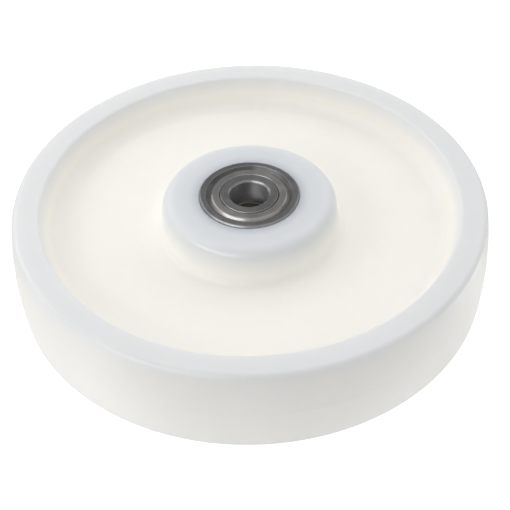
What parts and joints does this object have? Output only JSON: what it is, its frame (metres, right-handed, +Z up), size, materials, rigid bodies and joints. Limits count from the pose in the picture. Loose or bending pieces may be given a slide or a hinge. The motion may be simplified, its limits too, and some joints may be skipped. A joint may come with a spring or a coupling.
{
  "type": "castor wheel",
  "caption": "White moulded nylon wheel with a thick rim, recessed disc web, raised round hub and a shielded ball bearing pressed into each end of the hub.",
  "frame": {"origin": "centre of the wheel, on the spin axis, halfway between the two bearing faces", "axes": "+Y along the spin axis towards the rear bearing, +Z up, wheel upright, the front bearing faces -Y"},
  "size_m": [0.2499, 0.06, 0.25],
  "materials": {
    "nylon": "satin moulded nylon, off-white",
    "ring_steel": "ground bearing steel",
    "shield_steel": "pressed sheet steel",
    "cage_steel": "pressed sheet steel",
    "ball_steel": "polished",
    "zinc_steel": "zinc plated"
  },
  "bodies": {
    "core": {"spacer_tube": "zinc_steel", "front_inner_ring": "ring_steel", "rear_inner_ring": "ring_steel"},
    "wheel": {"wheel_body": "nylon", "front_outer_ring": "ring_steel", "front_shield_outboard": "shield_steel", "front_shield_inboard": "shield_steel", "rear_outer_ring": "ring_steel", "rear_shield_outboard": "shield_steel", "rear_shield_inboard": "shield_steel"},
    "front_cage": {"front_cage_outboard": "cage_steel", "front_cage_inboard": "cage_steel", "front_cage_rivets": "cage_steel"},
    "front_ball_1": {"front_ball_1": "ball_steel"},
    "front_ball_2": {"front_ball_2": "ball_steel"},
    "front_ball_3": {"front_ball_3": "ball_steel"},
    "front_ball_4": {"front_ball_4": "ball_steel"},
    "front_ball_5": {"front_ball_5": "ball_steel"},
    "front_ball_6": {"front_ball_6": "ball_steel"},
    "front_ball_7": {"front_ball_7": "ball_steel"},
    "rear_cage": {"rear_cage_outboard": "cage_steel", "rear_cage_inboard": "cage_steel", "rear_cage_rivets": "cage_steel"},
    "rear_ball_1": {"rear_ball_1": "ball_steel"},
    "rear_ball_2": {"rear_ball_2": "ball_steel"},
    "rear_ball_3": {"rear_ball_3": "ball_steel"},
    "rear_ball_4": {"rear_ball_4": "ball_steel"},
    "rear_ball_5": {"rear_ball_5": "ball_steel"},
    "rear_ball_6": {"rear_ball_6": "ball_steel"},
    "rear_ball_7": {"rear_ball_7": "ball_steel"}
  },
  "joints": [
    {"name": "wheel_spin", "type": "hinge", "parent": "core", "child": "wheel", "pos_m": [0, 0, 0], "axis": [0, 1, 0], "continuous": true},
    {"name": "front_cage_spin", "type": "hinge", "parent": "core", "child": "front_cage", "pos_m": [0, -0.0225, 0], "axis": [0, 1, 0], "continuous": true},
    {"name": "front_ball_1_roll", "type": "hinge", "parent": "front_cage", "child": "front_ball_1", "pos_m": [0.018, -0.0225, 0], "axis": [0, 1, 0], "continuous": true},
    {"name": "front_ball_2_roll", "type": "hinge", "parent": "front_cage", "child": "front_ball_2", "pos_m": [0.01122, -0.0225, 0.01407], "axis": [0, 1, 0], "continuous": true},
    {"name": "front_ball_3_roll", "type": "hinge", "parent": "front_cage", "child": "front_ball_3", "pos_m": [-0.00401, -0.0225, 0.01755], "axis": [0, 1, 0], "continuous": true},
    {"name": "front_ball_4_roll", "type": "hinge", "parent": "front_cage", "child": "front_ball_4", "pos_m": [-0.01622, -0.0225, 0.00781], "axis": [0, 1, 0], "continuous": true},
    {"name": "front_ball_5_roll", "type": "hinge", "parent": "front_cage", "child": "front_ball_5", "pos_m": [-0.01622, -0.0225, -0.00781], "axis": [0, 1, 0], "continuous": true},
    {"name": "front_ball_6_roll", "type": "hinge", "parent": "front_cage", "child": "front_ball_6", "pos_m": [-0.00401, -0.0225, -0.01755], "axis": [0, 1, 0], "continuous": true},
    {"name": "front_ball_7_roll", "type": "hinge", "parent": "front_cage", "child": "front_ball_7", "pos_m": [0.01122, -0.0225, -0.01407], "axis": [0, 1, 0], "continuous": true},
    {"name": "rear_cage_spin", "type": "hinge", "parent": "core", "child": "rear_cage", "pos_m": [0, 0.0225, 0], "axis": [0, 1, 0], "continuous": true},
    {"name": "rear_ball_1_roll", "type": "hinge", "parent": "rear_cage", "child": "rear_ball_1", "pos_m": [0.01622, 0.0225, 0.00781], "axis": [0, 1, 0], "continuous": true},
    {"name": "rear_ball_2_roll", "type": "hinge", "parent": "rear_cage", "child": "rear_ball_2", "pos_m": [0.00401, 0.0225, 0.01755], "axis": [0, 1, 0], "continuous": true},
    {"name": "rear_ball_3_roll", "type": "hinge", "parent": "rear_cage", "child": "rear_ball_3", "pos_m": [-0.01122, 0.0225, 0.01407], "axis": [0, 1, 0], "continuous": true},
    {"name": "rear_ball_4_roll", "type": "hinge", "parent": "rear_cage", "child": "rear_ball_4", "pos_m": [-0.018, 0.0225, 0], "axis": [0, 1, 0], "continuous": true},
    {"name": "rear_ball_5_roll", "type": "hinge", "parent": "rear_cage", "child": "rear_ball_5", "pos_m": [-0.01122, 0.0225, -0.01407], "axis": [0, 1, 0], "continuous": true},
    {"name": "rear_ball_6_roll", "type": "hinge", "parent": "rear_cage", "child": "rear_ball_6", "pos_m": [0.00401, 0.0225, -0.01755], "axis": [0, 1, 0], "continuous": true},
    {"name": "rear_ball_7_roll", "type": "hinge", "parent": "rear_cage", "child": "rear_ball_7", "pos_m": [0.01622, 0.0225, -0.00781], "axis": [0, 1, 0], "continuous": true}
  ],
  "couplings": [
    {"joint": "front_cage_spin", "follows": "wheel_spin", "ratio": 0.63229},
    {"joint": "front_ball_1_roll", "follows": "wheel_spin", "ratio": 1.7575},
    {"joint": "front_ball_2_roll", "follows": "wheel_spin", "ratio": 1.7575},
    {"joint": "front_ball_3_roll", "follows": "wheel_spin", "ratio": 1.7575},
    {"joint": "front_ball_4_roll", "follows": "wheel_spin", "ratio": 1.7575},
    {"joint": "front_ball_5_roll", "follows": "wheel_spin", "ratio": 1.7575},
    {"joint": "front_ball_6_roll", "follows": "wheel_spin", "ratio": 1.7575},
    {"joint": "front_ball_7_roll", "follows": "wheel_spin", "ratio": 1.7575},
    {"joint": "rear_cage_spin", "follows": "wheel_spin", "ratio": 0.63229},
    {"joint": "rear_ball_1_roll", "follows": "wheel_spin", "ratio": 1.7575},
    {"joint": "rear_ball_2_roll", "follows": "wheel_spin", "ratio": 1.7575},
    {"joint": "rear_ball_3_roll", "follows": "wheel_spin", "ratio": 1.7575},
    {"joint": "rear_ball_4_roll", "follows": "wheel_spin", "ratio": 1.7575},
    {"joint": "rear_ball_5_roll", "follows": "wheel_spin", "ratio": 1.7575},
    {"joint": "rear_ball_6_roll", "follows": "wheel_spin", "ratio": 1.7575},
    {"joint": "rear_ball_7_roll", "follows": "wheel_spin", "ratio": 1.7575}
  ]
}
